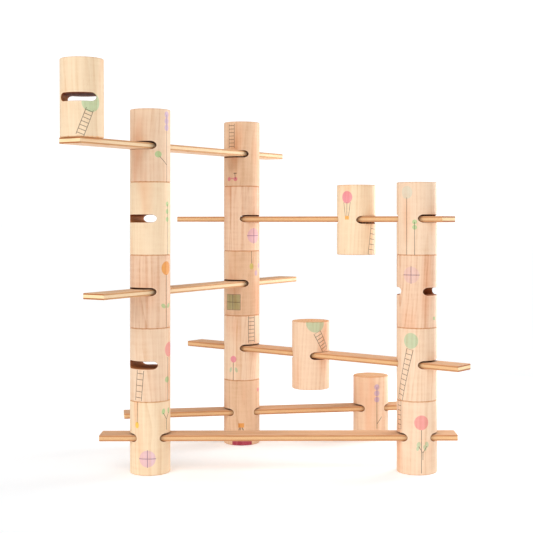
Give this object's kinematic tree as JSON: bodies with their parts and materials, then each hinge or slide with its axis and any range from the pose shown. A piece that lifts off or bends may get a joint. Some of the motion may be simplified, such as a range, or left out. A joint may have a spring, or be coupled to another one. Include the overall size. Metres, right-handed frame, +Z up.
{
  "type": "marble run",
  "caption": "Wooden building toy: upright slotted logs stacked into three towers, tied together by flat plywood slats through their slots, with more logs hung and perched on the slats.",
  "frame": {"origin": "on the floor, at the centre of the left tower's foot", "axes": "+X along the front slat towards the right tower, +Y to the back, +Z up"},
  "size_m": [0.3884, 0.3431, 0.3981],
  "materials": {
    "log_wood": "sanded pale maple with small printed drawings, clear matt lacquer",
    "slat_plywood": "sanded three-ply birch, clear matt lacquer"
  },
  "bodies": {
    "ground_logs": {"left_tower_log_1": "log_wood", "rear_tower_log_1": "log_wood", "right_tower_log_1": "log_wood"},
    "front_slat": {"front_slat": "slat_plywood"},
    "rear_slat": {"rear_slat": "slat_plywood"},
    "floor_log": {"floor_log": "log_wood"},
    "left_log_2": {"left_tower_log_2": "log_wood"},
    "level_2": {"rear_tower_log_2": "log_wood", "right_tower_log_2": "log_wood"},
    "low_slat": {"low_slat": "slat_plywood"},
    "low_hanging_log": {"low_hanging_log": "log_wood"},
    "right_log_3": {"right_tower_log_3": "log_wood"},
    "level_3": {"left_tower_log_3": "log_wood", "rear_tower_log_3": "log_wood"},
    "left_slat": {"left_slat": "slat_plywood"},
    "left_log_4": {"left_tower_log_4": "log_wood"},
    "level_4": {"rear_tower_log_4": "log_wood", "right_tower_log_4": "log_wood"},
    "right_slat": {"right_slat": "slat_plywood"},
    "high_hanging_log": {"high_hanging_log": "log_wood"},
    "level_5": {"left_tower_log_5": "log_wood", "rear_tower_log_5": "log_wood"},
    "top_slat": {"top_slat": "slat_plywood"},
    "perched_log": {"perched_log": "log_wood"}
  },
  "joints": [
    {"name": "front_slat_slide", "type": "slide", "parent": "ground_logs", "child": "front_slat", "axis": [1, 0, 0], "range_m": [-0.019, 0.029]},
    {"name": "rear_slat_slide", "type": "slide", "parent": "ground_logs", "child": "rear_slat", "axis": [0.9857, 0.1685, 0], "range_m": [-0.026, 0.1115]},
    {"name": "floor_log_slide", "type": "slide", "parent": "ground_logs", "child": "floor_log", "axis": [0.9857, 0.1685, 0], "range_m": [-0.09, 0.026]},
    {"name": "low_slat_slide", "type": "slide", "parent": "level_2", "child": "low_slat", "axis": [0.7823, -0.6229, 0], "range_m": [-0.0335, 0.0515]},
    {"name": "low_hanging_log_slide", "type": "slide", "parent": "level_2", "child": "low_hanging_log", "axis": [0.7823, -0.6229, 0], "range_m": [-0.055, 0.09]},
    {"name": "left_slat_slide", "type": "slide", "parent": "level_3", "child": "left_slat", "axis": [0.5201, 0.8541, 0], "range_m": [-0.0815, 0.0655]},
    {"name": "right_slat_slide", "type": "slide", "parent": "level_4", "child": "right_slat", "axis": [0.7823, -0.6229, 0], "range_m": [-0.0165, 0.0685]},
    {"name": "high_hanging_log_slide", "type": "slide", "parent": "level_4", "child": "high_hanging_log", "axis": [0.7823, -0.6229, 0], "range_m": [-0.114, 0.031]},
    {"name": "top_slat_slide", "type": "slide", "parent": "level_5", "child": "top_slat", "axis": [0.52, 0.8541, 0.0063], "range_m": [-0.049, 0.059]},
    {"name": "left_log_2_turn", "type": "hinge", "parent": "ground_logs", "child": "left_log_2", "pos_m": [0, 0, 0.072], "axis": [0, 0, 1], "continuous": true},
    {"name": "right_log_3_turn", "type": "hinge", "parent": "level_2", "child": "right_log_3", "pos_m": [0.266, 0, 0.144], "axis": [0, 0, 1], "continuous": true},
    {"name": "left_log_4_turn", "type": "hinge", "parent": "level_3", "child": "left_log_4", "pos_m": [0, 0, 0.216], "axis": [0, 0, 1], "continuous": true},
    {"name": "perched_log_turn", "type": "hinge", "parent": "top_slat", "child": "perched_log", "pos_m": [-0.05255, -0.0863, 0.32594], "axis": [-0.0033, -0.0054, 1], "continuous": true},
    {"name": "level_2_lift", "type": "slide", "parent": "ground_logs", "child": "level_2", "axis": [0, 0, 1], "range_m": [0, 0.03]},
    {"name": "level_3_lift", "type": "slide", "parent": "level_2", "child": "level_3", "axis": [0, 0, 1], "range_m": [0, 0.03]},
    {"name": "level_4_lift", "type": "slide", "parent": "level_3", "child": "level_4", "axis": [0, 0, 1], "range_m": [0, 0.03]},
    {"name": "level_5_lift", "type": "slide", "parent": "level_4", "child": "level_5", "axis": [0, 0, 1], "range_m": [0, 0.03]}
  ]
}
